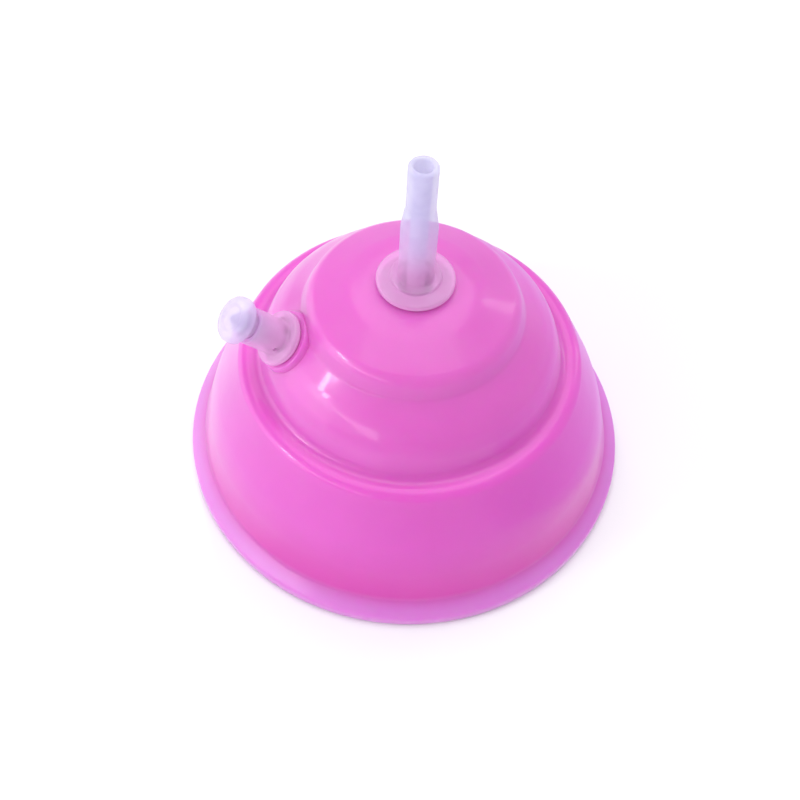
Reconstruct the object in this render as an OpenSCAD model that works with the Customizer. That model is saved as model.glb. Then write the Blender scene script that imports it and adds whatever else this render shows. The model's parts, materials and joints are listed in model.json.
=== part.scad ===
// Silicone cupping cup: a three-tier suction dome with a hose nipple on its
// crown and a push-button release valve on the shoulder of its middle tier.
// The origin is the centre of the lip's resting plane, with +Z up to the nipple.

/* [Cup] */
// Diameter over the sealing lip
rim_d = 100; // [84:1:130]
// Height of the skirt's shoulder above the resting plane
skirt_h = 32.2; // [26:0.2:44]
// Thickness of the silicone wall
wall = 3; // [2.4:0.1:3.6]
// How far the flared lip stands out from the foot of the skirt
lip_w = 3.2; // [2.5:0.1:5]
// Height at which the lip meets the skirt
lip_h = 5; // [4:0.1:7]
// Height of the lip's outer edge
lip_edge = 2.6; // [2:0.1:3.4]
// Width of the flat that the lip rests on
lip_seat = 1.2; // [0.8:0.1:2]
// Height of the skirt's waist above the resting plane
waist_z = 17; // [14:0.2:20]
// Inward step from the skirt's foot to its waist
waist_in = 3; // [2:0.1:4]
// Inward step from the skirt's foot to its shoulder
shoulder_in = 10.2; // [8:0.1:13]

/* [Middle tier] */
// Width of the ledge between the skirt and the middle tier
ledge_w = 4; // [3:0.1:5]
// How far the ledge dips below the shoulder
ledge_dip = 0.3; // [0:0.1:0.4]
// Inward lean of the middle tier's wall
mid_in = 1.8; // [1:0.1:3]
// Height of the middle tier's wall
mid_wall_h = 6.7; // [6:0.1:9]
// Width of the middle tier's slope
slope_w = 7.6; // [7:0.1:9]
// Height of the middle tier's slope
slope_h = 7.4; // [7:0.1:9]
// How far the slope bulges outward at its middle
slope_bulge = 0.5; // [0.2:0.05:0.7]

/* [Cap] */
// Inward step from the cap's foot to its edge
cap_in = 1.6; // [1:0.1:2.2]
// Height of the cap's upright edge
cap_edge_h = 4; // [3.2:0.1:5]
// Rise from the cap's edge to its flat crown
cap_rise = 4.2; // [3:0.1:5]
// Radius at which the flat crown begins
crown_r = 12; // [11:0.1:14]

/* [Hose nipple] */
// Radius of the hose stem
stem_r = 2.9; // [2.6:0.05:3.2]
// Length of the straight hose stem
stem_l = 9.4; // [7:0.1:14]
// Radius of the stem's thicker root
root_r = 3.65; // [3.4:0.05:4]
// Length of the thicker root above the ring
root_l = 13.8; // [10:0.1:18]
// Length of the taper between root and stem
taper_l = 5; // [3:0.1:7]
// Radius of the air bore
bore_r = 1.8; // [1.3:0.05:2.1]
// Radius of the disc flange
flange_r = 8; // [7.4:0.1:9]
// Thickness of the disc flange
flange_t = 1.4; // [1.1:0.1:2]
// Radius of the raised ring on the flange
ring_r = 5.2; // [4.6:0.1:6]
// Height of the raised ring
ring_h = 0.8; // [0.5:0.1:1.2]
// Radius of the threaded spigot
spigot_r = 4; // [3.6:0.05:4.4]
// Radius of the inner clamp washer
washer_r = 8.4; // [7.6:0.1:9]
// Thickness of the inner clamp washer
washer_t = 1; // [0.8:0.1:1.4]
// Thickness of the lock nut
nut_t = 3; // [2.4:0.1:4]
// Distance across the lock nut's corners
nut_d = 14; // [12.5:0.1:16]

/* [Release valve] */
// Bearing of the valve around the cup
valve_az = 180; // [0:1:359]
// Distance of the valve from the wall's top edge, up the slope
valve_up = 5.6; // [5.2:0.1:6.2]
// Height of the moulded seat above the bulge of the slope
boss_h = 0.5; // [0.3:0.1:1]
// Height of the flat pad above the inner wall
pad_h = 0.7; // [0.6:0.1:1]
// How far the valve's flange stands out from its neck
valve_flange_w = 2; // [1.4:0.1:2.4]
// Wall of the valve's neck
neck_wall = 0.95; // [0.7:0.05:1.3]
// Length of the neck above the flange
neck_l = 7.4; // [6:0.1:9]
// Wall of the threaded barrel
barrel_wall = 1.4; // [1:0.1:1.6]
// Width of the air passage around the stem
air_gap = 0.6; // [0.4:0.05:0.7]
// Travel of the button
stroke = 2; // [1:0.1:2.2]
// Radius of the button's head
head_r = 4.8; // [4.2:0.1:5.2]
// Height of the button's head
head_h = 2.6; // [2:0.1:3.5]
// Radius of the button's guide skirt
guide_r = 2.78; // [2.7:0.01:2.9]
// Radius of the valve stem
rod_r = 1; // [0.8:0.05:1.1]
// Width of the seal's contact with its seat
seal_w = 0.8; // [0.5:0.1:1.1]
// Thickness of the spring's wire
wire_d = 0.36; // [0.3:0.02:0.4]
// Number of turns in the spring
spring_turns = 7; // [5:1:8]

/* [Fits] */
// Radial clearance of a barrel or spigot in its soft wall, gasket and washer
hole_clear = 0.15; // [0.05:0.05:0.3]
// Radial clearance of a lock nut on its thread
thread_clear = 0.05; // [0.02:0.01:0.1]
// Radial clearance of the button's guide in the neck
slide_clear = 0.07; // [0.03:0.01:0.1]
// Gap between the spring and the wall of the guide skirt around it
spring_clear = 0.25; // [0.15:0.05:0.35]
// Gap between the closed seal and its seat
seal_gap = 0.02; // [0.01:0.01:0.05]
// Gap left under the button's head when it is fully pressed
stop_gap = 0.02; // [0.01:0.01:0.1]
// Thickness of the soft gaskets
gasket_t = 0.6; // [0.4:0.1:1]

/* [Hidden] */
$fn = 72;

// Cup outline: radius and height of each corner of the outer wall
rim_r = rim_d / 2;
foot_r = rim_r - lip_w;
shoulder_r = foot_r - shoulder_in;
ledge_r = shoulder_r - ledge_w;
ledge_z = skirt_h - ledge_dip;
mid_r = ledge_r - mid_in;
mid_z = ledge_z + mid_wall_h;
slope_l = norm([slope_w, slope_h]);
cap_foot_r = mid_r - slope_w;
cap_foot_z = mid_z + slope_h;
bulge_r = (mid_r + cap_foot_r) / 2 + slope_bulge * slope_h / slope_l;
bulge_z = (mid_z + cap_foot_z) / 2 + slope_bulge * slope_w / slope_l;
cap_edge_r = cap_foot_r - cap_in;
cap_edge_z = cap_foot_z + cap_edge_h;
crown_z = cap_edge_z + cap_rise;
lip_round = 0.6;
lip_fill = 0.4;
shoulder_round = 0.65 * ledge_w;
ledge_round = 0.5 * ledge_w;

// Each row is radius, height, outer rounding, inner rounding
WALL = [
    [foot_r, lip_h, 1.2, 1.5],
    [foot_r - waist_in, waist_z, 40, 37],
    [shoulder_r, skirt_h, shoulder_round, 1],
    [ledge_r, ledge_z, ledge_round, 1.25 * ledge_round],
    [mid_r, mid_z, 9, 6],
    [bulge_r, bulge_z, 16, 13],
    [cap_foot_r, cap_foot_z, 2, 3],
    [cap_edge_r, cap_edge_z, 4, 1.5],
    [crown_r, crown_z, 12, 9],
];
ARC_STEPS = 8;

// Hose nipple, from the crown upwards and downwards
flange_z = crown_z + gasket_t;
ring_z = flange_z + flange_t;
root_z = ring_z + ring_h;
stem_z = root_z + root_l + taper_l;
tip_h = 1;
tip_in = 0.5;
inner_crown_z = crown_z - wall;
nut_z = inner_crown_z - washer_t - nut_t;
thread_out = 1;
gasket_edge = 0.6;

// Release valve: distances along its own axis, measured from the moulded seat
valve_lean = atan2(slope_w, slope_h);
seat_h = slope_bulge + boss_h;
valve_foot_r = mid_r - valve_up * slope_w / slope_l + seat_h * cos(valve_lean);
valve_foot_z = mid_z + valve_up * slope_h / slope_l + seat_h * sin(valve_lean);
seat_depth = seat_h + wall + pad_h;
passage_r = rod_r + air_gap;
barrel_r = passage_r + barrel_wall;
counterbore_r = guide_r + slide_clear;
neck_r = counterbore_r + neck_wall;
valve_flange_r = neck_r + valve_flange_w;
seat_margin = 0.5;
boss_r = valve_flange_r + seat_margin;
neck_z = gasket_t + flange_t;
neck_top = neck_z + neck_l;
floor_t = 0.6;
floor_z = neck_z + floor_t;
valve_washer_t = 0.8;
valve_washer_w = 2.4;
valve_washer_r = barrel_r + valve_washer_w;
pad_margin = 0.7;
pad_r = valve_washer_r + pad_margin;
valve_nut_t = 2.4;
valve_nut_wall = 2.3;
valve_nut_d = 2 * (barrel_r + valve_nut_wall);
valve_nut_z = -(seat_depth + valve_washer_t + valve_nut_t);
barrel_end = valve_nut_z - thread_out;
seal_t = 0.8;
seal_z = barrel_end - seal_gap - seal_t;
seal_r = passage_r + seal_w;
poppet_out = 0.2;
poppet_r = seal_r + poppet_out;
poppet_t = 1;
head_z = neck_top + stroke + stop_gap;
head_roof = 0.5;
guide_space = 0.6;
guide_end = floor_z + stroke + guide_space;
guide_wall = 0.65;
spring_r = guide_r - guide_wall - spring_clear - wire_d / 2;
rod_grip = 1.6;
vent_r = 0.5;
spring_rest = 0.05;

function unit(v) = v / norm(v);

// Points of a rounded corner at p, coming from a and going to b
function corner(a, p, b, r) = r <= 0 ? [p] :
    let (
        u = unit(a - p),
        v = unit(b - p),
        half = acos(u * v) / 2,
        c = p + unit(u + v) * r / sin(half),
        s = p + u * r / tan(half) - c,
        e = p + v * r / tan(half) - c,
        from = atan2(s.y, s.x),
        turn = (atan2(e.y, e.x) - from + 540) % 360 - 180
    )
    [for (i = [0:ARC_STEPS]) c + r * [cos(from + turn * i / ARC_STEPS), sin(from + turn * i / ARC_STEPS)]];

// Closed outline through rows of x, y and rounding
function rounded(rows) =
    let (n = len(rows), xy = [for (q = rows) [q.x, q.y]])
    [for (i = [0:n - 1]) each corner(xy[(i + n - 1) % n], xy[i], xy[(i + 1) % n], rows[i].z)];

function left(v) = [-v.y, v.x];

// Corner p moved inward by t, square to the walls on both sides of it
function inset(a, p, b, t) =
    let (n1 = left(unit(p - a)), n2 = left(unit(b - p)))
    p + t * (n1 + n2) / (1 + n1 * n2);

function outer_rows() = [for (q = WALL) [q[0], q[1], q[2]]];

function inner_rows() =
    let (n = len(WALL), xy = [for (q = WALL) [q[0], q[1]]])
    [for (i = [n - 1:-1:1])
        let (after = i == n - 1 ? [0, crown_z] : xy[i + 1], p = inset(xy[i - 1], xy[i], after, wall))
        [p.x, p.y, WALL[i][3]]];

// Ring between two radii, from height z up by h
module ring(z, h, outer, inner) {
    translate([0, 0, z])
        difference() {
            cylinder(h = h, r = outer);
            translate([0, 0, -1])
                cylinder(h = h + 2, r = inner);
        }
}

// Six-sided lock nut with its threaded hole
module lock_nut(z, h, across, hole_r) {
    translate([0, 0, z])
        difference() {
            intersection() {
                cylinder(h = h, d = across, $fn = 6);
                cylinder(h = h, r = across / 2 * 0.97);
            }
            translate([0, 0, -1])
                cylinder(h = h + 2, r = hole_r);
        }
}

// Places a child on the valve's axis, with z = 0 at the moulded seat
module on_valve() {
    rotate([0, 0, valve_az])
        translate([valve_foot_r, 0, valve_foot_z])
            rotate([0, 90 - valve_lean, 0])
                children();
}

// One ring of points around the spring's wire at turn fraction f
function wire_ring(f, z0, z1, sides) =
    let (a = 360 * spring_turns * f, end = 0.75 / spring_turns,
         climb = f < end ? 0 : f > 1 - end ? 1 : (f - end) / (1 - 2 * end),
         lift = wire_d * 1.05,
         z = z0 + lift * min(f, end) / end + (z1 - z0 - 2 * lift) * climb + lift * max(0, f - 1 + end) / end)
    [for (k = [0:sides - 1])
        let (r = spring_r + wire_d / 2 * cos(360 * k / sides))
        [r * cos(a), r * sin(a), z + wire_d / 2 * sin(360 * k / sides)]];

module coil(z0, z1) {
    sides = 8;
    rings = spring_turns * 20;
    points = [for (i = [0:rings]) each wire_ring(i / rings, z0, z1, sides)];
    start = [for (k = [sides - 1:-1:0]) k];
    finish = [for (k = [0:sides - 1]) rings * sides + k];
    skin = [for (i = [0:rings - 1]) for (k = [0:sides - 1])
        let (a = i * sides + k, b = i * sides + (k + 1) % sides)
        each [[a, b + sides, a + sides], [a, b, b + sides]]];
    polyhedron(points = points, faces = concat([start], skin, [finish]), convexity = 10);
}

module cup_shell() {
    rotate_extrude()
        polygon(rounded(concat(
            [[rim_r - lip_round - lip_seat, 0, lip_round], [rim_r, 0, lip_round], [rim_r, lip_edge, 1.1]],
            outer_rows(),
            [[0, crown_z, 0], [0, crown_z - wall, 0]],
            inner_rows(),
            [[foot_r - wall, lip_h - lip_fill, 2]]
        )));
}

module cup_body() {
    color([0.91, 0.41, 0.8, 0.85])
        difference() {
            union() {
                cup_shell();
                on_valve() {
                    translate([0, 0, -seat_h - wall / 2])
                        cylinder(h = seat_h + wall / 2, r = boss_r);
                    translate([0, 0, -seat_depth])
                        cylinder(h = pad_h + wall / 2, r = pad_r);
                }
            }
            translate([0, 0, crown_z - 2 * wall])
                cylinder(h = 3 * wall, r = spigot_r + hole_clear);
            on_valve()
                translate([0, 0, -seat_depth - 1])
                    cylinder(h = seat_depth + 2, r = barrel_r + hole_clear);
        }
}

module hose_nipple() {
    color([0.8, 0.78, 0.93, 0.8])
        rotate_extrude()
            polygon(rounded([
                [bore_r, nut_z - thread_out, 0],
                [spigot_r, nut_z - thread_out, 0],
                [spigot_r, flange_z, 0],
                [flange_r, flange_z, 0.3],
                [flange_r, ring_z, 0.5],
                [ring_r, ring_z, 0.3],
                [ring_r, root_z, 0.3],
                [root_r, root_z, 0.4],
                [root_r, root_z + root_l, 0],
                [stem_r, stem_z, 0],
                [stem_r, stem_z + stem_l, 0],
                [stem_r - tip_in, stem_z + stem_l + tip_h, 0.2],
                [bore_r, stem_z + stem_l + tip_h, 0.1],
            ]));
}

module nipple_gasket() {
    color([0.55, 0.5, 0.6])
        ring(crown_z, gasket_t, flange_r - gasket_edge, spigot_r + hole_clear);
}

module nipple_washer() {
    color([0.8, 0.78, 0.93])
        ring(inner_crown_z - washer_t, washer_t, washer_r, spigot_r + hole_clear);
}

module nipple_nut() {
    color([0.8, 0.78, 0.93])
        lock_nut(nut_z, nut_t, nut_d, spigot_r + thread_clear);
}

module valve_housing() {
    color([0.9, 0.76, 0.93, 0.8])
        on_valve()
            difference() {
                union() {
                    translate([0, 0, barrel_end])
                        cylinder(h = gasket_t - barrel_end, r = barrel_r);
                    rotate_extrude()
                        polygon(rounded([
                            [0, gasket_t, 0],
                            [valve_flange_r, gasket_t, 0.3],
                            [valve_flange_r, neck_z, 0.5],
                            [neck_r, neck_z, 0.5],
                            [neck_r, neck_top, 0.3],
                            [0, neck_top, 0],
                        ]));
                }
                translate([0, 0, barrel_end - 1])
                    cylinder(h = floor_z - barrel_end + 2, r = passage_r);
                translate([0, 0, floor_z])
                    cylinder(h = neck_l + 1, r = counterbore_r);
                translate([0, 0, floor_z + vent_r + 0.1])
                    rotate([90, 0, 0])
                        cylinder(h = 2 * neck_r + 2, r = vent_r, center = true);
            }
}

module valve_gasket() {
    color([0.55, 0.5, 0.6])
        on_valve()
            ring(0, gasket_t, valve_flange_r - gasket_edge, barrel_r + hole_clear);
}

module valve_washer() {
    color([0.8, 0.78, 0.93])
        on_valve()
            ring(-seat_depth - valve_washer_t, valve_washer_t, valve_washer_r, barrel_r + hole_clear);
}

module valve_nut() {
    color([0.8, 0.78, 0.93])
        on_valve()
            lock_nut(valve_nut_z, valve_nut_t, valve_nut_d, barrel_r + thread_clear);
}

module valve_button() {
    color([0.92, 0.82, 0.96, 0.85])
        on_valve()
            difference() {
                rotate_extrude()
                    polygon(rounded([
                        [0, guide_end, 0],
                        [guide_r, guide_end, 0.2],
                        [guide_r, head_z, 0],
                        [head_r, head_z, 0.6],
                        [head_r, head_z + head_h, 1.2],
                        [0, head_z + head_h, 0],
                    ]));
                translate([0, 0, guide_end - 1])
                    cylinder(h = head_z + head_roof - guide_end + 1, r = guide_r - guide_wall);
                translate([0, 0, head_z])
                    cylinder(h = head_roof + rod_grip, r = rod_r);
            }
}

module valve_stem() {
    color([0.85, 0.85, 0.9])
        on_valve() {
            translate([0, 0, seal_z - poppet_t])
                cylinder(h = poppet_t, r = poppet_r);
            translate([0, 0, seal_z - poppet_t / 2])
                cylinder(h = head_z + head_roof + rod_grip - seal_z + poppet_t / 2, r = rod_r);
        }
}

module valve_seal() {
    color([0.3, 0.3, 0.35])
        on_valve()
            ring(seal_z, seal_t, seal_r, rod_r + thread_clear);
}

module valve_spring() {
    color([0.75, 0.76, 0.78])
        on_valve()
            coil(floor_z + wire_d / 2 + spring_rest, head_z + head_roof - wire_d / 2 - spring_rest);
}

cup_body();
hose_nipple();
nipple_gasket();
nipple_washer();
nipple_nut();
valve_housing();
valve_gasket();
valve_washer();
valve_nut();
valve_button();
valve_stem();
valve_seal();
valve_spring();
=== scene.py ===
import json
import math

import bmesh
import bpy
from mathutils import Matrix, Vector


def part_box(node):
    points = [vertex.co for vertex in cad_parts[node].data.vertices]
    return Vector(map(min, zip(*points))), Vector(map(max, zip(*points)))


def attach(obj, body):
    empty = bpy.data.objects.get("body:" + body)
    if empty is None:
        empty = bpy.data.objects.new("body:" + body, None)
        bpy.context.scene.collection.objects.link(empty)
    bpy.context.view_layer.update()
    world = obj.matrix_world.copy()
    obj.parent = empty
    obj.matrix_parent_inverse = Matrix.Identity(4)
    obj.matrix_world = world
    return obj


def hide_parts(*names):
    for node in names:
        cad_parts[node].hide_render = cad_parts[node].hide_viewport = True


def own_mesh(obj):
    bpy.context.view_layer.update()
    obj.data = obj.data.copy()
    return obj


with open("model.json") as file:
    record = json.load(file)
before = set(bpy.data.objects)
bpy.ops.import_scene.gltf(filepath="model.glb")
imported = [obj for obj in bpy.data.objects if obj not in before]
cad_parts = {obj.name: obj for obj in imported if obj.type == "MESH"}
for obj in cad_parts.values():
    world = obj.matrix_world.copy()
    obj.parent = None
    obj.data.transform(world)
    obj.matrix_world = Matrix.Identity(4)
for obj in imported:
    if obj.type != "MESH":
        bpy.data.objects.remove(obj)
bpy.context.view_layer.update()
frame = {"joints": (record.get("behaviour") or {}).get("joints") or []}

# Studio. The cup stands mouth down on a plain white table, seen from above by a close camera.
# A broad overhead softbox is what the crown mirrors, two side panels draw the long streaks, two
# small window panes make the glints, and three cards beside the cup tint what its walls mirror.
MM = 0.001
camera_at = Vector((-46.2, -142.3, 230.2)) * MM
camera_aim = Vector((-1.5, 0.48, 12.4)) * MM
camera_roll = math.radians(3.7)
camera_lens = 51.6

camera_data = bpy.data.cameras.new("studio_camera")
camera_data.lens = camera_lens
camera = bpy.data.objects.new("studio_camera", camera_data)
bpy.context.scene.collection.objects.link(camera)
camera.location = camera_at
look = (camera_aim - camera_at).to_track_quat("-Z", "Y").to_matrix().to_4x4()
camera.matrix_world = Matrix.Translation(camera_at) @ look @ Matrix.Rotation(camera_roll, 4, "Z")
bpy.context.scene.camera = camera

table_size = 4
table_gap = 0.2 * MM
bpy.ops.object.select_all(action="DESELECT")
bpy.ops.mesh.primitive_plane_add(size=table_size, location=(0, 0, -table_gap))
table = bpy.context.object
table.name = "white_table"
table_white = bpy.data.materials.new("white_table")
table_white.use_nodes = True
table_shader = table_white.node_tree.nodes["Principled BSDF"]
table_shader.inputs["Base Color"].default_value = (0.97, 0.97, 0.98, 1)
table_shader.inputs["Roughness"].default_value = 0.75
table.data.materials.append(table_white)

world = bpy.data.worlds.new("white_studio")
bpy.context.scene.world = world
world.use_nodes = True
world.node_tree.nodes["Background"].inputs["Color"].default_value = (0.97, 0.98, 1.0, 1)
world.node_tree.nodes["Background"].inputs["Strength"].default_value = 0.6
bpy.context.scene.view_settings.view_transform = "Standard"

cup_heart = Vector((0, 0, 30)) * MM


def softbox(name, at, width, depth, watts):
    """A rectangular lamp aimed at the heart of the cup."""
    light = bpy.data.lights.new(name, "AREA")
    light.shape = "RECTANGLE"
    light.size = width
    light.size_y = depth
    light.energy = watts
    stand = bpy.data.objects.new(name, light)
    bpy.context.scene.collection.objects.link(stand)
    stand.location = at
    stand.rotation_euler = (cup_heart - Vector(at)).to_track_quat("-Z", "Y").to_euler()


softbox("overhead_softbox", (0.04, 0.18, 0.74), width=0.75, depth=0.8, watts=3.3)
softbox("left_panel", (-0.68, -0.3, 0.36), width=0.9, depth=0.07, watts=1.15)
softbox("right_panel", (0.75, 0.3, 0.4), width=0.08, depth=0.5, watts=0.45)
for pane_at in ((-0.66, -0.025, 0.42), (-0.68, -0.105, 0.42)):
    softbox("window_pane", pane_at, width=0.05, depth=0.07, watts=0.4)


def mirror_card(name, at, width, length, lean, glow, strength):
    """A lit card beside the cup that shows only as a reflection in its walls."""
    bpy.ops.object.select_all(action="DESELECT")
    bpy.ops.mesh.primitive_plane_add(size=1, location=at, rotation=(0, lean, 0))
    card = bpy.context.object
    card.name = name
    card.dimensions = (width, length, 0)
    card.visible_camera = False
    card.visible_diffuse = False
    card.visible_transmission = False
    card.visible_shadow = False
    paper = bpy.data.materials.new(name)
    paper.use_nodes = True
    shine = paper.node_tree.nodes["Principled BSDF"]
    shine.inputs["Base Color"].default_value = (0, 0, 0, 1)
    shine.inputs["Specular IOR Level"].default_value = 0
    shine.inputs["Emission Color"].default_value = glow
    shine.inputs["Emission Strength"].default_value = strength
    card.data.materials.append(paper)


on_table = -0.1 * MM
upright = math.pi / 2
mirror_card("violet_flag", (0.25, 0.1, on_table), 0.4, 0.7, 0, (0.82, 0.5, 1.0, 1), 1.0)
mirror_card("lilac_card", (-0.25, 0.1, on_table), 0.4, 0.7, 0, (0.88, 0.92, 1.0, 1), 1.45)
mirror_card("left_card", (-0.5, 0.25, 0.15), 0.3, 0.9, upright, (0.92, 0.95, 1.0, 1), 2.4)


# Cup. One moulding in glossy translucent pink silicone: a thick rounded sealing lip, a tall skirt,
# a middle tier and a low cap, with a hole for the nipple and a raised seat for the valve.
def start_piece(name):
    """A new object in edit mode that holds one point at the origin."""
    bpy.ops.object.select_all(action="DESELECT")
    bpy.ops.mesh.primitive_plane_add(size=0.002)
    piece = bpy.context.object
    piece.name = name
    piece.data.name = name
    bpy.ops.object.mode_set(mode="EDIT")
    bpy.ops.mesh.select_all(action="SELECT")
    bpy.ops.mesh.merge(type="CENTER")
    return piece


TOUCHING = 0.001 * MM
SHARP = math.radians(35)


def select_near(piece, spot):
    """Selects the points of the piece in edit mode that lie at one spot."""
    work = bmesh.from_edit_mesh(piece.data)
    for point in work.verts:
        point.select = (point.co - Vector(spot)).length < TOUCHING
    work.select_flush_mode()
    bmesh.update_edit_mesh(piece.data)


def draw_outline(spots):
    """Draws a closed outline from the one point of a new piece."""
    bpy.ops.transform.translate(value=spots[0])
    here = spots[0]
    for spot in spots[1:] + spots[:1]:
        bpy.ops.mesh.extrude_vertices_move(TRANSFORM_OT_translate={"value": spot - here})
        here = spot
    bpy.ops.mesh.select_all(action="SELECT")
    bpy.ops.mesh.remove_doubles(threshold=TOUCHING)


def turned(name, corners, steps=72):
    """Turns a closed outline about Z. Each corner is radius, height and rounding, in millimetres."""
    piece = start_piece(name)
    spots = [Vector((r * MM, 0, z * MM)) for r, z, _ in corners]
    draw_outline(spots)
    for i, (_, _, rounding) in enumerate(corners):
        if rounding == 0:
            continue
        before = (spots[i - 1] - spots[i]).normalized()
        after = (spots[(i + 1) % len(spots)] - spots[i]).normalized()
        half = before.angle(after) / 2
        select_near(piece, spots[i])
        segments = max(3, min(14, round((math.pi - 2 * half) * rounding * 4)))
        bpy.ops.mesh.bevel(
            offset=rounding * MM / math.tan(half),
            offset_type="OFFSET",
            segments=segments,
            affect="VERTICES",
        )
    bpy.ops.mesh.select_all(action="SELECT")
    bpy.ops.mesh.spin(steps=steps, angle=2 * math.pi, center=(0, 0, 0), axis=(0, 0, 1))
    bpy.ops.mesh.select_all(action="SELECT")
    bpy.ops.mesh.remove_doubles(threshold=2 * TOUCHING)
    bpy.ops.mesh.normals_make_consistent(inside=False)
    bpy.ops.object.mode_set(mode="OBJECT")
    bpy.ops.object.shade_smooth_by_angle(angle=SHARP)
    return piece


def cut(piece, tool, operation="DIFFERENCE"):
    """Cuts the tool out of the piece, or joins it on, and removes the tool."""
    bpy.ops.object.select_all(action="DESELECT")
    piece.select_set(True)
    bpy.context.view_layer.objects.active = piece
    boolean = piece.modifiers.new("cut", "BOOLEAN")
    boolean.object = tool
    boolean.operation = operation
    boolean.solver = "EXACT"
    bpy.ops.object.modifier_apply(modifier="cut")
    bpy.data.objects.remove(tool)
    bpy.ops.object.mode_set(mode="EDIT")
    bpy.ops.mesh.select_all(action="SELECT")
    bpy.ops.mesh.remove_doubles(threshold=TOUCHING)
    bpy.ops.object.mode_set(mode="OBJECT")


def place(piece, matrix):
    """Moves the finished piece to its place in the object and writes the place into its mesh."""
    bpy.ops.object.select_all(action="DESELECT")
    piece.select_set(True)
    bpy.context.view_layer.objects.active = piece
    piece.matrix_world = matrix
    bpy.ops.object.transform_apply(location=True, rotation=True, scale=True)


# The valve's own frame, from the joint that it slides on: Z out of the wall, origin on the seat.
press = frame["joints"][0]
valve_out = -Vector(press["axis"]).normalized()
gasket_low, gasket_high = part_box("valve_gasket")
gasket_t = 0.6
valve_seat = (gasket_low + gasket_high) / 2 - valve_out * gasket_t / 2 * MM
valve_turn = Matrix.Rotation(-math.acos(valve_out.z), 4, "Y")
VALVE = Matrix.Translation(valve_seat) @ valve_turn

# The outline's sizes, in millimetres, from the lip up to the crown.
cup_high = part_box("cup_body")[1]
rim_r = cup_high.x / MM
crown_z = cup_high.z / MM
wall = 3.0
lip_flat_in, lip_edge_h = 1.8, 2.6
lip_w, lip_h = 3.2, 5.0
waist_in, waist_z = 3.0, 17.0
shoulder_in, shoulder_drop = 10.2, 22.0
ledge_w, ledge_dip = 4.0, 0.3
mid_in, mid_wall_h = 1.8, 6.7
bulge_in, bulge_up = 3.45, 4.06
slope_w, slope_h = 7.6, 7.4
cap_in, cap_edge_h = 1.6, 4.0
crown_r = 12.0
foot_r = rim_r - lip_w
shoulder_r = foot_r - shoulder_in
shoulder_z = crown_z - shoulder_drop
ledge_r = shoulder_r - ledge_w
ledge_z = shoulder_z - ledge_dip
mid_r = ledge_r - mid_in
mid_z = ledge_z + mid_wall_h
cap_r = mid_r - slope_w
cap_z = mid_z + slope_h
inner_crown_z = crown_z - wall
hole_r = 4.15
valve_hole_r = 3.15
seat_r = 6.3
inner_pad_r = 6.1
seat_depth = 4.7

cup = turned(
    "silicone_cup",
    [
        # Outside, from the resting flat up to the nipple's hole
        (rim_r - lip_flat_in, 0, 0.6),
        (rim_r, 0, 0.6),
        (rim_r, lip_edge_h, 1.1),
        (foot_r, lip_h, 1.2),
        (foot_r - waist_in, waist_z, 40),
        (shoulder_r, shoulder_z, 2.6),
        (ledge_r, ledge_z, 2.0),
        (mid_r, mid_z, 9),
        (mid_r - bulge_in, mid_z + bulge_up, 16),
        (cap_r, cap_z, 2),
        (cap_r - cap_in, cap_z + cap_edge_h, 4),
        (crown_r, crown_z, 12),
        (hole_r, crown_z, 0.2),
        # Inside, about one wall's thickness in, back down to the lip
        (hole_r, inner_crown_z, 0.2),
        (11.4, inner_crown_z, 9),
        (19.3, inner_crown_z - 3.5, 1.5),
        (20.7, cap_z - 1.8, 3),
        (25.2, mid_z + 1.9, 13),
        (28.1, mid_z - 1.4, 6),
        (30.3, ledge_z - 3.2, 2.5),
        (34.8, shoulder_z - 3.1, 1),
        (foot_r - 5.8, 16.0, 37),
        (foot_r - wall, lip_h - 0.4, 2),
    ],
    steps=160,
)
seat_pad = turned(
    "seat_pad",
    [(0, -2.4, 0), (7.1, -2.4, 0), (6.6, -0.6, 0.8), (seat_r, 0, 0.25), (0, 0, 0)],
    steps=96,
)
place(seat_pad, VALVE)
cut(cup, seat_pad, "UNION")
inner_pad = turned(
    "inner_pad",
    [(0, -seat_depth, 0), (inner_pad_r, -seat_depth, 0.4), (6.7, -2.7, 0), (0, -2.7, 0)],
    steps=96,
)
place(inner_pad, VALVE)
cut(cup, inner_pad, "UNION")
valve_hole = turned(
    "valve_hole",
    [(0, -8, 0), (valve_hole_r, -8, 0), (valve_hole_r, 4, 0), (0, 4, 0)],
    steps=96,
)
place(valve_hole, VALVE)
cut(cup, valve_hole)
bpy.ops.object.shade_smooth_by_angle(angle=SHARP)


def new_material(name):
    """A node material, with its node tree and its Principled shader."""
    material = bpy.data.materials.new(name)
    material.use_nodes = True
    tree = material.node_tree
    return material, tree, tree.nodes["Principled BSDF"]


def object_noise(tree, scale, detail=3.0):
    """Noise on the piece's own coordinates; scale is in waves per metre."""
    piece_place = tree.nodes.new("ShaderNodeTexCoord")
    noise = tree.nodes.new("ShaderNodeTexNoise")
    noise.inputs["Scale"].default_value = scale
    noise.inputs["Detail"].default_value = detail
    tree.links.new(piece_place.outputs["Object"], noise.inputs["Vector"])
    return noise.outputs["Fac"]


def ramp(tree, source, low, high, start=0.3, end=0.7):
    """A two-colour ramp over a noise output."""
    node = tree.nodes.new("ShaderNodeValToRGB")
    node.color_ramp.elements[0].position = start
    node.color_ramp.elements[1].position = end
    node.color_ramp.elements[0].color = low
    node.color_ramp.elements[1].color = high
    tree.links.new(source, node.inputs["Fac"])
    return node.outputs["Color"]


def bump(tree, shader, source, distance, strength):
    """A fine relief on the shader's surface; distance is in metres."""
    node = tree.nodes.new("ShaderNodeBump")
    node.inputs["Distance"].default_value = distance
    node.inputs["Strength"].default_value = strength
    tree.links.new(source, node.inputs["Height"])
    tree.links.new(node.outputs["Normal"], shader.inputs["Normal"])


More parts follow.
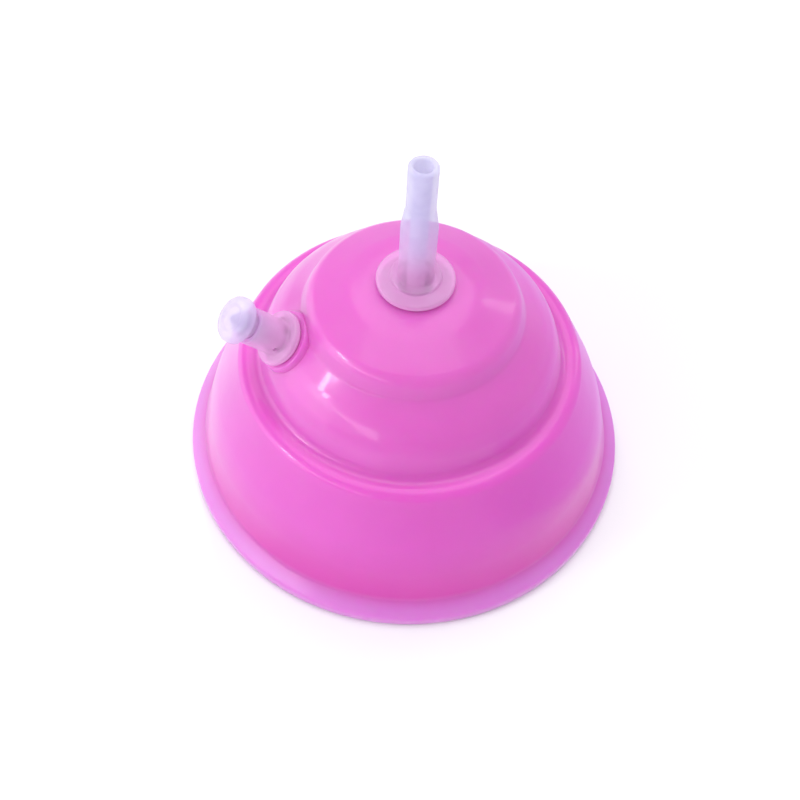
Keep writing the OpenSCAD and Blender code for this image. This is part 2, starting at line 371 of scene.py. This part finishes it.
# The silicone is milky at the lip, where the colour is painted light from the table glowing through
# the thin lip; deepest just above it, where it is painted shade in the crease at the foot of the
# wall; and paler again towards the crown.
silicone, tree, shader = new_material("pink_silicone")
wall_place = tree.nodes.new("ShaderNodeTexCoord")
split = tree.nodes.new("ShaderNodeSeparateXYZ")
tree.links.new(wall_place.outputs["Object"], split.inputs["Vector"])
height_up = tree.nodes.new("ShaderNodeMapRange")
height_up.inputs["From Min"].default_value = 0.0
height_up.inputs["From Max"].default_value = 50.0 * MM
tree.links.new(split.outputs["Z"], height_up.inputs["Value"])
depth = tree.nodes.new("ShaderNodeValToRGB")
depth.color_ramp.interpolation = "EASE"
# Painted light and shade: the milky first colour stands for table light glowing through the thin
# lip, and the deep second colour is painted shade along the crease at the foot of the wall.
depth.color_ramp.elements[0].position = 0.066
depth.color_ramp.elements[0].color = (0.74, 0.23, 0.7, 1)
depth.color_ramp.elements[1].position = 0.13
depth.color_ramp.elements[1].color = (0.74, 0.052, 0.49, 1)
cap_pink = depth.color_ramp.elements.new(1.0)
cap_pink.color = (0.78, 0.15, 0.6, 1)
wall_pink = depth.color_ramp.elements.new(0.42)
wall_pink.color = (0.78, 0.1, 0.6, 1)
tree.links.new(height_up.outputs["Result"], depth.inputs["Fac"])
mottle = ramp(tree, object_noise(tree, 60), (0.96, 0.9, 0.96, 1), (1.0, 1.0, 1.0, 1))
clouded = tree.nodes.new("ShaderNodeMix")
clouded.data_type = "RGBA"
clouded.blend_type = "MULTIPLY"
clouded.inputs["Factor"].default_value = 1.0
tree.links.new(depth.outputs["Color"], clouded.inputs["A"])
tree.links.new(mottle, clouded.inputs["B"])
tree.links.new(clouded.outputs["Result"], shader.inputs["Base Color"])
satin = ramp(tree, object_noise(tree, 140, 5), (0.3, 0.3, 0.3, 1), (0.38, 0.38, 0.38, 1))
tree.links.new(satin, shader.inputs["Roughness"])
bump(tree, shader, object_noise(tree, 900, 2), 0.00004, 0.35)
shader.inputs["Subsurface Weight"].default_value = 0.8
shader.inputs["Subsurface Radius"].default_value = (1.0, 0.25, 0.8)
shader.inputs["Subsurface Scale"].default_value = 0.004
shader.inputs["IOR"].default_value = 1.41
shader.inputs["Sheen Weight"].default_value = 0.5
shader.inputs["Sheen Roughness"].default_value = 0.35
shader.inputs["Sheen Tint"].default_value = (0.95, 0.75, 1.0, 1)
shader.inputs["Coat Weight"].default_value = 0.35
shader.inputs["Coat Roughness"].default_value = 0.1
cup.data.materials.clear()
cup.data.materials.append(silicone)
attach(cup, "cup")
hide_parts("cup_body")

# Hose nipple. One frosted plastic moulding: a disc flange with a raised ring, a thick root that
# tapers to the hose stem, and a threaded spigot that passes down through the crown.
nipple_low, nipple_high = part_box("hose_nipple")
flange_z = crown_z + gasket_t
spigot_end = nipple_low.z / MM
stem_top = nipple_high.z / MM
bore_r = 1.8
spigot_core_r = 3.6
spigot_r = 4.0
flange_r, flange_t = 8.0, 1.4
ring_r, ring_h = 5.2, 0.8
root_r, root_l = 3.65, 13.8
stem_r, taper_l = 2.9, 5.0
thread_fit = 0.02
ring_z = flange_z + flange_t
root_z = ring_z + ring_h


def wind(piece, turns, rise, steps_per_turn, smooth_to):
    """Winds an outline into a helix about Z, closes its two ends and smooths it."""
    screw = piece.modifiers.new("wind", "SCREW")
    screw.axis = "Z"
    screw.angle = 2 * math.pi * turns
    screw.screw_offset = rise * MM
    screw.steps = steps_per_turn * turns
    screw.render_steps = steps_per_turn * turns
    screw.use_merge_vertices = False
    bpy.ops.object.modifier_apply(modifier="wind")
    bpy.ops.object.mode_set(mode="EDIT")
    bpy.ops.mesh.select_all(action="DESELECT")
    bpy.ops.mesh.select_non_manifold()
    bpy.ops.mesh.edge_face_add()
    bpy.ops.mesh.select_all(action="SELECT")
    bpy.ops.mesh.normals_make_consistent(inside=False)
    bpy.ops.object.mode_set(mode="OBJECT")
    bpy.ops.object.shade_smooth_by_angle(angle=math.radians(smooth_to))


def thread(name, core_r, crest_r, low, high, pitch):
    """A helical ridge from low to high, wound as a screw about Z."""
    piece = start_piece(name)
    half = pitch * 0.36
    rows = [(core_r, -half), (crest_r, -half * 0.25), (crest_r, half * 0.25), (core_r, half)]
    draw_outline([Vector((r * MM, 0, (low + half + z) * MM)) for r, z in rows])
    bpy.ops.object.mode_set(mode="OBJECT")
    turns = int((high - low - 2 * half) / pitch)
    wind(piece, turns, pitch * turns, steps_per_turn=32, smooth_to=30)
    return piece


def joined(piece, other):
    """Joins another mesh into the piece."""
    bpy.ops.object.select_all(action="DESELECT")
    other.select_set(True)
    piece.select_set(True)
    bpy.context.view_layer.objects.active = piece
    bpy.ops.object.join()


nipple = turned(
    "hose_nipple_moulding",
    [
        (bore_r, spigot_end, 0.2),
        (spigot_core_r, spigot_end, 0.3),
        (spigot_core_r, flange_z - 0.5, 0),
        (spigot_r, flange_z, 0),
        (flange_r, flange_z, 0.3),
        (flange_r, ring_z, 0.5),
        (ring_r, ring_z, 0.3),
        (ring_r, root_z, 0.35),
        (root_r, root_z, 0.5),
        (root_r, root_z + root_l, 3),
        (stem_r, root_z + root_l + taper_l, 3),
        (stem_r, stem_top, 0.6),
        (bore_r, stem_top, 0.4),
    ],
)
spigot_thread = thread(
    "spigot_thread",
    spigot_core_r - 0.1,
    spigot_r - thread_fit,
    spigot_end + 0.3,
    flange_z - 0.8,
    pitch=0.9,
)
joined(nipple, spigot_thread)

# The frosted plastic is clear lilac. Close to the silicone its colour is painted pink light,
# standing in for the pink silicone glowing through it.
frosted, tree, shader = new_material("frosted_plastic")
cloud = object_noise(tree, 220)
clear_lilac = ramp(tree, cloud, (0.66, 0.62, 0.92, 1), (0.76, 0.72, 0.98, 1))
# Painted light: this pink stands for the silicone's light showing through the plastic, strongest
# close to the cup.
painted_pink_glow = ramp(tree, cloud, (1.0, 0.48, 0.9, 1), (1.0, 0.55, 0.95, 1))
fitting_place = tree.nodes.new("ShaderNodeTexCoord")
from_wall = tree.nodes.new("ShaderNodeVectorMath")
from_wall.operation = "DISTANCE"
from_wall.inputs[1].default_value = (0, 0, 10 * MM)
tree.links.new(fitting_place.outputs["Object"], from_wall.inputs[0])
# Painted light: the painted pink fades out between 46 and 60 mm from a point inside the cup.
painted_glow_fade = tree.nodes.new("ShaderNodeMapRange")
painted_glow_fade.interpolation_type = "SMOOTHSTEP"
painted_glow_fade.inputs["From Min"].default_value = 46 * MM
painted_glow_fade.inputs["From Max"].default_value = 60 * MM
tree.links.new(from_wall.outputs["Value"], painted_glow_fade.inputs["Value"])
lilac_with_painted_glow = tree.nodes.new("ShaderNodeMix")
lilac_with_painted_glow.data_type = "RGBA"
tree.links.new(painted_glow_fade.outputs["Result"], lilac_with_painted_glow.inputs["Factor"])
tree.links.new(painted_pink_glow, lilac_with_painted_glow.inputs["A"])
tree.links.new(clear_lilac, lilac_with_painted_glow.inputs["B"])
tree.links.new(lilac_with_painted_glow.outputs["Result"], shader.inputs["Base Color"])
frost = ramp(tree, object_noise(tree, 1500, 4), (0.29, 0.29, 0.29, 1), (0.4, 0.4, 0.4, 1))
tree.links.new(frost, shader.inputs["Roughness"])
bump(tree, shader, object_noise(tree, 2600, 2), 0.00003, 0.3)
shader.inputs["Subsurface Weight"].default_value = 0.2
shader.inputs["Subsurface Radius"].default_value = (1.0, 0.9, 1.0)
shader.inputs["Subsurface Scale"].default_value = 0.003
shader.inputs["IOR"].default_value = 1.4
shader.inputs["Alpha"].default_value = 0.5
nipple.data.materials.clear()
nipple.data.materials.append(frosted)
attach(nipple, "cup")
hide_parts("hose_nipple")

# Crown seals and lock nut. A soft ring sits under the flange; inside, a broad plastic washer and a
# six-sided nut with chamfered corners clamp the silicone.
soft_rubber, tree, shader = new_material("gasket_rubber")
chalk = ramp(tree, object_noise(tree, 500, 4), (0.9, 0.38, 0.78, 1), (0.96, 0.46, 0.84, 1))
tree.links.new(chalk, shader.inputs["Base Color"])
shader.inputs["Roughness"].default_value = 0.5
shader.inputs["Subsurface Weight"].default_value = 0.4
shader.inputs["Subsurface Radius"].default_value = (1.0, 0.6, 0.9)
shader.inputs["Subsurface Scale"].default_value = 0.002
shader.inputs["Alpha"].default_value = 0.85
bump(tree, shader, object_noise(tree, 3000, 2), 0.00003, 0.5)


def finish_piece(piece, material, body, node):
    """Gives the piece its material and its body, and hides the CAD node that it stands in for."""
    piece.data.materials.clear()
    piece.data.materials.append(material)
    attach(piece, body)
    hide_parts(node)


def flat_ring(name, low, high, inner, outer, rounding):
    """A plain ring with rounded edges."""
    corners = [(inner, low), (outer, low), (outer, high), (inner, high)]
    return turned(name, [(r, z, rounding) for r, z in corners])


def lock_nut(name, low, high, across, inner):
    """A six-sided nut: a hexagonal bar turned down at its corners and bored out."""
    bpy.ops.object.select_all(action="DESELECT")
    bpy.ops.mesh.primitive_cylinder_add(
        vertices=6,
        radius=across / 2 * MM,
        depth=(high - low) * MM,
        location=(0, 0, (low + high) / 2 * MM),
    )
    nut = bpy.context.object
    nut.name = name
    nut.data.name = name
    bpy.ops.object.transform_apply(location=True, rotation=True, scale=True)
    face_r = across / 2 * 0.88
    corner_r = across / 2 * 0.97
    corner_h = 0.5
    chamfer = turned(
        name + "_chamfer",
        [
            (0, low, 0),
            (face_r, low, 0),
            (corner_r, low + corner_h, 0),
            (corner_r, high - corner_h, 0),
            (face_r, high, 0),
            (0, high, 0),
        ],
    )
    cut(nut, chamfer, "INTERSECT")
    lead_in = 0.3
    flare = 1.3
    hole = turned(
        name + "_hole",
        [
            (0, low - flare + lead_in, 0),
            (inner + flare, low - flare + lead_in, 0),
            (inner, low + lead_in, 0),
            (inner, high - lead_in, 0),
            (inner + flare, high + flare - lead_in, 0),
            (0, high + flare - lead_in, 0),
        ],
    )
    cut(nut, hole)
    bpy.ops.object.shade_smooth_by_angle(angle=math.radians(25))
    return nut


gasket_r = 7.4
crown_gasket = flat_ring("crown_gasket", crown_z, flange_z, hole_r, gasket_r, 0.15)
finish_piece(crown_gasket, soft_rubber, "cup", "nipple_gasket")

washer_r = 8.4
washer_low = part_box("nipple_washer")[0].z / MM
washer_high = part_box("nipple_washer")[1].z / MM
crown_washer = flat_ring("crown_washer", washer_low, washer_high, hole_r, washer_r, 0.2)
finish_piece(crown_washer, frosted, "cup", "nipple_washer")

nut_across = 14
thread_clear = 0.05
nut_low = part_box("nipple_nut")[0].z / MM
nut_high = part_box("nipple_nut")[1].z / MM
crown_nut = lock_nut("crown_lock_nut", nut_low, nut_high, nut_across, spigot_r + thread_clear)
finish_piece(crown_nut, frosted, "cup", "nipple_nut")

# Release valve's fixed half. A frosted housing with a flange, a neck with two vent holes and a
# threaded barrel is clamped through the wall by a gasket, a washer and a small lock nut.
valve_flange_r = 5.8
neck_r, neck_l, neck_inner_r = 3.8, 7.4, 2.85
barrel_r, barrel_core_r = 3.0, 2.65
passage_r = 1.6
vent_r = 0.5
valve_washer_r, valve_washer_t = 5.4, 0.8
valve_nut_across, valve_nut_t = 10.6, 2.4
valve_gasket_r = 5.2
thread_out = 1.0
valve_flange_top = gasket_t + flange_t
neck_top = valve_flange_top + neck_l
floor_z = valve_flange_top + 0.6
valve_washer_z = -seat_depth
valve_nut_z = valve_washer_z - valve_washer_t
barrel_end = valve_nut_z - valve_nut_t - thread_out

housing = turned(
    "valve_housing_moulding",
    [
        (passage_r, barrel_end, 0.1),
        (barrel_core_r, barrel_end, 0.2),
        (barrel_core_r, gasket_t - 0.5, 0),
        (barrel_r, gasket_t, 0),
        (valve_flange_r, gasket_t, 0.3),
        (valve_flange_r, valve_flange_top, 0.6),
        (neck_r, valve_flange_top, 0.6),
        (neck_r, neck_top, 0.35),
        (neck_inner_r, neck_top, 0.2),
        (neck_inner_r, floor_z, 0.1),
        (passage_r, floor_z, 0),
    ],
)
bpy.ops.object.select_all(action="DESELECT")
bpy.ops.mesh.primitive_cylinder_add(
    vertices=24,
    radius=vent_r * MM,
    depth=10 * MM,
    location=(0, 0, (floor_z + 0.6) * MM),
    rotation=(math.pi / 2, 0, 0),
)
vents = bpy.context.object
bpy.ops.object.transform_apply(location=True, rotation=True, scale=True)
cut(housing, vents)
barrel_thread = thread(
    "barrel_thread",
    barrel_core_r - 0.1,
    barrel_r - thread_fit,
    barrel_end + 0.25,
    gasket_t - 0.7,
    pitch=0.75,
)
joined(housing, barrel_thread)
bpy.ops.object.shade_smooth_by_angle(angle=math.radians(30))
place(housing, VALVE)
finish_piece(housing, frosted, "cup", "valve_housing")

valve_gasket = flat_ring("valve_seat_gasket", 0, gasket_t, valve_hole_r, valve_gasket_r, 0.15)
place(valve_gasket, VALVE)
finish_piece(valve_gasket, soft_rubber, "cup", "valve_gasket")

valve_washer = flat_ring(
    "valve_clamp_washer", valve_nut_z, valve_washer_z, valve_hole_r, valve_washer_r, 0.15
)
place(valve_washer, VALVE)
finish_piece(valve_washer, frosted, "cup", "valve_washer")

valve_nut = lock_nut(
    "valve_lock_nut",
    valve_nut_z - valve_nut_t,
    valve_nut_z,
    valve_nut_across,
    barrel_r + thread_clear,
)
place(valve_nut, VALVE)
finish_piece(valve_nut, frosted, "cup", "valve_nut")

# Release button. A domed cap on a hollow guide skirt, pressed onto a thin stem whose poppet head
# and soft seal close the barrel from inside the cup.
travel = press["range_m"][1]
stop_gap = 0.02
head_r, head_h = 4.8, 2.6
guide_r, guide_inner_r, guide_in = 2.78, 2.13, 2.6
rod_r, rod_grip = 1.0, 2.1
poppet_r, poppet_t = 2.6, 1.0
seal_r, seal_t, seal_gap = 2.4, 0.8, 0.02
head_z = neck_top + travel / MM + stop_gap
head_top = head_z + head_h
guide_end = floor_z + guide_in
pocket_top = head_z + 0.5
rod_top = head_z + rod_grip
button = turned(
    "release_button_cap",
    [
        (0, rod_top, 0),
        (rod_r, rod_top, 0.1),
        (rod_r, pocket_top, 0),
        (guide_inner_r, pocket_top, 0.2),
        (guide_inner_r, guide_end, 0.1),
        (guide_r, guide_end, 0.2),
        (guide_r, head_z, 0.3),
        (head_r, head_z, 0.6),
        (head_r, head_top, 1.2),
        (3.0, head_top, 0.4),
        (2.4, head_top - 0.3, 0.4),
        (0, head_top - 0.3, 0),
    ],
)
place(button, VALVE)
finish_piece(button, frosted, "release_button", "valve_button")

seal_top = barrel_end - seal_gap
seal_low = seal_top - seal_t
stem = turned(
    "poppet_stem",
    [
        (0, seal_low - poppet_t, 0),
        (poppet_r, seal_low - poppet_t, 0.35),
        (poppet_r, seal_low, 0.15),
        (rod_r, seal_low, 0.1),
        (rod_r, rod_top, 0.2),
        (0, rod_top, 0),
    ],
    steps=48,
)
place(stem, VALVE)
finish_piece(stem, frosted, "release_button", "valve_stem")

seal = flat_ring("poppet_seal", seal_low, seal_top, rod_r + 0.05, seal_r, 0.25)
place(seal, VALVE)
finish_piece(seal, soft_rubber, "release_button", "valve_seal")

# Return spring. Seven turns of thin drawn steel wire stand around the stem, held between the floor
# of the housing and the pocket of the button.
spring_gap = 0.05
spring_low = floor_z + spring_gap
spring_high = pocket_top - spring_gap
wire_r = 0.18
spring_turns = 7
spring_r = 1.7
bpy.ops.object.select_all(action="DESELECT")
bpy.ops.mesh.primitive_circle_add(
    vertices=10,
    radius=wire_r * MM,
    location=(spring_r * MM, 0, (spring_low + wire_r) * MM),
    rotation=(math.pi / 2, 0, 0),
)
spring = bpy.context.object
spring.name = "return_spring"
spring.data.name = "return_spring"
bpy.ops.object.transform_apply(location=True, rotation=True, scale=True)
wind(spring, spring_turns, spring_high - spring_low - 2 * wire_r, steps_per_turn=36, smooth_to=40)
place(spring, VALVE)

steel, tree, shader = new_material("spring_steel")
drawn = object_noise(tree, 4000, 2)
wire_grey = ramp(tree, drawn, (0.5, 0.51, 0.53, 1), (0.66, 0.67, 0.69, 1))
tree.links.new(wire_grey, shader.inputs["Base Color"])
shader.inputs["Metallic"].default_value = 1.0
shader.inputs["Roughness"].default_value = 0.3
bump(tree, shader, drawn, 0.00001, 0.3)
spring.data.materials.clear()
spring.data.materials.append(steel)
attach(spring, "cup")
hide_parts("valve_spring")
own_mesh(spring)
